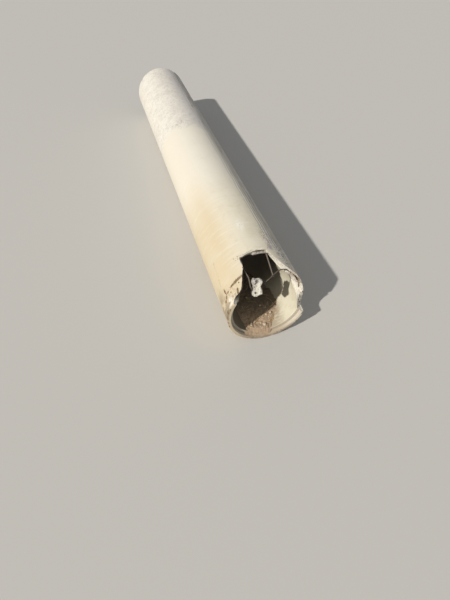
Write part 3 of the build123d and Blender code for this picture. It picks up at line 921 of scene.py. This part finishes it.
def dressed_copy(node, name, voxel, grains, material):
    """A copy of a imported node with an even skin, roughened by (grain, height) pairs, in a material."""
    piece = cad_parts[node].copy()
    piece.data = piece.data.copy()
    piece.name = name
    piece.parent = None
    for key in list(piece.keys()):
        del piece[key]
    bpy.context.scene.collection.objects.link(piece)
    pick(piece)
    bpy.ops.object.mode_set(mode="EDIT")
    bpy.ops.mesh.select_all(action="SELECT")
    bpy.ops.mesh.remove_doubles(threshold=0.01 * MM)
    bpy.ops.object.mode_set(mode="OBJECT")
    skin = piece.modifiers.new("skin", "REMESH")
    skin.mode = "VOXEL"
    skin.voxel_size = voxel
    roughen(piece, grains)
    piece.data.materials.clear()
    piece.data.materials.append(material)
    print(name, len(piece.data.polygons), "faces")
    return piece


lump = dressed_copy("concrete_lump", "broken_lump", TORN_SKIN, TORN_GRAINS, torn)
cut_away(lump, hollows, hollow_shade_finish, overlapping=True)
wires = {}
for node, finish in WIRE_FINISHES.items():
    wires[node] = dressed_copy(node, "rusty_" + node, WIRE_SKIN, SCALE_GRAINS, finish)

# %% [markdown]
# ## Soil in the mouth
# Rain has washed a bed of soil into the bottom of the bore, and it spills over the socket's step to the rim.
# It is a thin body that follows the round: a grid is bent to the bore, raised in the middle, sunk a little
# into the wall at its edges, and given an underside by extruding it. Then noise makes it lumpy.

# %% The bed of soil
SOIL_SPREAD = (
    # distance along, then degrees from the bottom to the right and to the left
    (2, 6, 36), (20, 12, 38), (51, 21, 38), (100, 34, 40), (143, 46, 42), (220, 44, 38), (330, 28, 30),
    (430, 14, 16), (480, 4, 5),
)
SOIL_DEEP = 21 * MM
SOIL_EDGE = 4 * MM
SOIL_COLUMNS = 80
SOIL_ROWS = 200
SOIL_GRAINS = ((34 * MM, 9 * MM), (11 * MM, 5 * MM), (4 * MM, 2.5 * MM))
CROWNING = 0.8
FAR_TAPER = 6
UNDERSIDE = 5 * MM
SPILL_RADIUS = 171 * MM
SPILL_REACH = SOCKET_DEPTH + 4 * MM
SMOOTH_BORDER = 20


def soil_place(side, share):
    """A place on the soil, from -1 at its right edge to 1 at its left, and from 0 at the mouth to 1 far in."""
    along = SOIL_SPREAD[0][0] + (SOIL_SPREAD[-1][0] - SOIL_SPREAD[0][0]) * share
    later = next(k for k in range(1, len(SOIL_SPREAD)) if SOIL_SPREAD[k][0] >= along - 1e-6)
    (y0, right0, left0), (y1, right1, left1) = SOIL_SPREAD[later - 1], SOIL_SPREAD[later]
    mix = (along - y0) / (y1 - y0)
    spread = right0 + (right1 - right0) * mix if side < 0 else left0 + (left1 - left0) * mix
    crowned = (1 - side * side) ** CROWNING * min(1, (1 - share) * FAR_TAPER) ** 0.5
    radius = BORE + SOIL_EDGE - SOIL_DEEP * crowned
    spill = max(0, 1 - along * MM / SPILL_REACH)
    radius += (SPILL_RADIUS - radius) * spill ** CROWNING
    return 180 + side * spread, radius, along * MM


grid = {"x_subdivisions": SOIL_COLUMNS, "y_subdivisions": SOIL_ROWS, "size": 1}
soil = fresh(bpy.ops.mesh.primitive_grid_add, "washed_in_soil", **grid)
top = soil.vertex_groups.new(name="top")
for vertex in soil.data.vertices:
    side, share = vertex.co.x * 2, vertex.co.y + 0.5
    top.add([vertex.index], min(1, (1 - abs(side)) * SMOOTH_BORDER, share * SMOOTH_BORDER + 0.2), "REPLACE")
    vertex.co = on_pipe(*soil_place(side, share))
thicken(soil, (0, 0, -UNDERSIDE))
roughen(soil, SOIL_GRAINS, "top")
soil.data.materials.append(soil_finish)
print("soil:", len(soil.data.polygons), "faces")

# %% [markdown]
# A few stones and dead grass stems lie on the soil. Each stone is a roughened ball, part sunk. A stem is a thin
# six-sided rod between two places on the soil, and the rods are short enough not to bridge its hollows. Where
# they lie is drawn by chance, with a fixed seed so that each run gives the same stems.

# %% Stones and stems
STONES = (
    # side and share of the way in on the soil, size across in mm
    (-0.10, 0.075, 17), (-0.78, 0.165, 7), (-0.52, 0.235, 5), (-0.42, 0.185, 9), (-0.66, 0.105, 5), (0.2, 0.06, 7),
    (0.35, 0.13, 5), (0.58, 0.115, 8), (0.62, 0.09, 10), (-0.2, 0.31, 10), (0.25, 0.45, 8), (-0.5, 0.52, 6),
    (-0.86, 0.25, 5), (0.02, 0.17, 5), (-0.33, 0.115, 6), (-0.68, 0.195, 11), (-0.15, 0.135, 5), (-0.4, 0.27, 8),
    (-0.58, 0.155, 6), (0.1, 0.10, 8), (-0.75, 0.285, 6), (-0.38, 0.065, 5), (0.47, 0.06, 5), (-0.9, 0.14, 5),
)
STONE_GRAINS = ((9 * MM, 3 * MM), (3 * MM, 1 * MM))
STONE_FLATNESS = 0.75
STONE_LIFT = 0.2
STEM_COUNT = 34
STEM_SIDES, STEM_SHARES = (-0.85, 0.7), (0.05, 0.42)
STEM_DRIFTS, STEM_RUNS = (-0.45, 0.45), (0.01, 0.07)
STEM_RADII = (0.7, 1.3)
STEM_SIDE_LIMIT = 0.95
STEM_LIFT = 2.0 * MM
chance = Random(7)

stones = []
for side, share, across in STONES:
    angle, radius, along = soil_place(side, share)
    place = on_pipe(angle, radius - across * STONE_LIFT * MM, along)
    stones.append(ball(place, across * MM, STONE_FLATNESS, angle))
stones = join(stones, "loose_stones")
roughen(stones, STONE_GRAINS)
stones.data.materials.append(stone_finish)

stems = []
for _ in range(STEM_COUNT):
    side, share = chance.uniform(*STEM_SIDES), chance.uniform(*STEM_SHARES)
    drift, onward = chance.uniform(*STEM_DRIFTS), chance.uniform(*STEM_RUNS)
    end_side = max(-STEM_SIDE_LIMIT, min(STEM_SIDE_LIMIT, side + drift))
    ends = []
    for end in ((side, share), (end_side, share + onward)):
        angle, radius, along = soil_place(*end)
        ends.append(on_pipe(angle, radius - STEM_LIFT, along))
    rod = ends[1] - ends[0]
    stems.append(fresh(
        bpy.ops.mesh.primitive_cylinder_add, "stem", vertices=6, radius=chance.uniform(*STEM_RADII) * MM,
        depth=rod.length, location=(ends[0] + ends[1]) / 2, rotation=rod.to_track_quat("Z", "Y").to_euler()))
stems = join(stems, "straw_stems")
bpy.ops.object.transform_apply(location=True, rotation=True, scale=True)
stems.data.materials.append(straw_finish)
for piece in (lump, *wires.values(), soil, stones, stems):
    pick(piece)
    bpy.ops.object.shade_smooth_by_angle(angle=ROUGH)
print("stones:", len(stones.data.polygons), "faces, stems:", len(stems.data.polygons), "faces")

# %% [markdown]
# ## Floor, light and camera
# The floor is plain and pale. One key light comes from the left and a little behind the viewer, as the sun
# does on the real pipe, with a soft edge like a large studio lamp, and an even pale world fills the shadows.
# The camera stands where the photograph was taken: 1.5 m above the ground, looking down at 47 degrees.

# %% Floor
FLOOR_SIZE = 40
floor = fresh(bpy.ops.mesh.primitive_plane_add, "floor", size=FLOOR_SIZE)
pale, tree, shader = new_material("pale_floor", 0.9)
shader.inputs["Base Color"].default_value = colour("cfccc6")
floor.data.materials.append(pale)
print("floor:", FLOOR_SIZE, "m square")

# %% Light
KEY_HEIGHT = radians(37)
KEY_TURN = radians(27)
KEY_STRENGTH = 2.98
KEY_SOFTNESS = radians(1.5)
WARM_WHITE = (1.0, 0.97, 0.92)
FILL_STRENGTH = 0.295
COOL_WHITE = (0.93, 0.96, 1.0, 1)
key_direction = Vector((cos(KEY_HEIGHT) * cos(KEY_TURN), cos(KEY_HEIGHT) * sin(KEY_TURN), -sin(KEY_HEIGHT)))
lamp = bpy.data.lights.new("key", "SUN")
lamp.energy = KEY_STRENGTH
lamp.angle = KEY_SOFTNESS
lamp.color = WARM_WHITE
key = bpy.data.objects.new("key", lamp)
key.rotation_euler = key_direction.to_track_quat("-Z", "Y").to_euler()
bpy.context.scene.collection.objects.link(key)
world = bpy.data.worlds.new("studio")
world.use_nodes = True
background = world.node_tree.nodes["Background"]
background.inputs["Color"].default_value = COOL_WHITE
background.inputs["Strength"].default_value = FILL_STRENGTH
bpy.context.scene.world = world
bpy.context.scene.view_settings.view_transform = "Standard"
print("light comes along", tuple(round(c, 2) for c in key_direction))

# %% Camera
SENSOR_HEIGHT = 36
FOCAL_LENGTH = 24.96
STANDS_AT = (-0.5082, -2.2765, 1.5074)
LOOKS_DOWN = 47.37
LOOKS_RIGHT = 16.59
view = bpy.data.cameras.new("viewer")
view.sensor_fit = "VERTICAL"
view.sensor_height = SENSOR_HEIGHT
view.lens = FOCAL_LENGTH
camera = bpy.data.objects.new("viewer", view)
camera.location = STANDS_AT
camera.rotation_euler = (radians(90 - LOOKS_DOWN), 0, radians(-LOOKS_RIGHT))
bpy.context.scene.collection.objects.link(camera)
bpy.context.scene.camera = camera
print("camera", tuple(round(c, 3) for c in camera.location))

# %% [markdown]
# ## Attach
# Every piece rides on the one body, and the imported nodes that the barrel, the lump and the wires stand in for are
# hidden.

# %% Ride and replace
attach(barrel, "root")
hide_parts("pipe_barrel")
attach(lump, "root")
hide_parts("concrete_lump")
for node, wire in wires.items():
    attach(wire, "root")
    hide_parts(node)
for piece in (soil, stones, stems):
    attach(piece, "root")
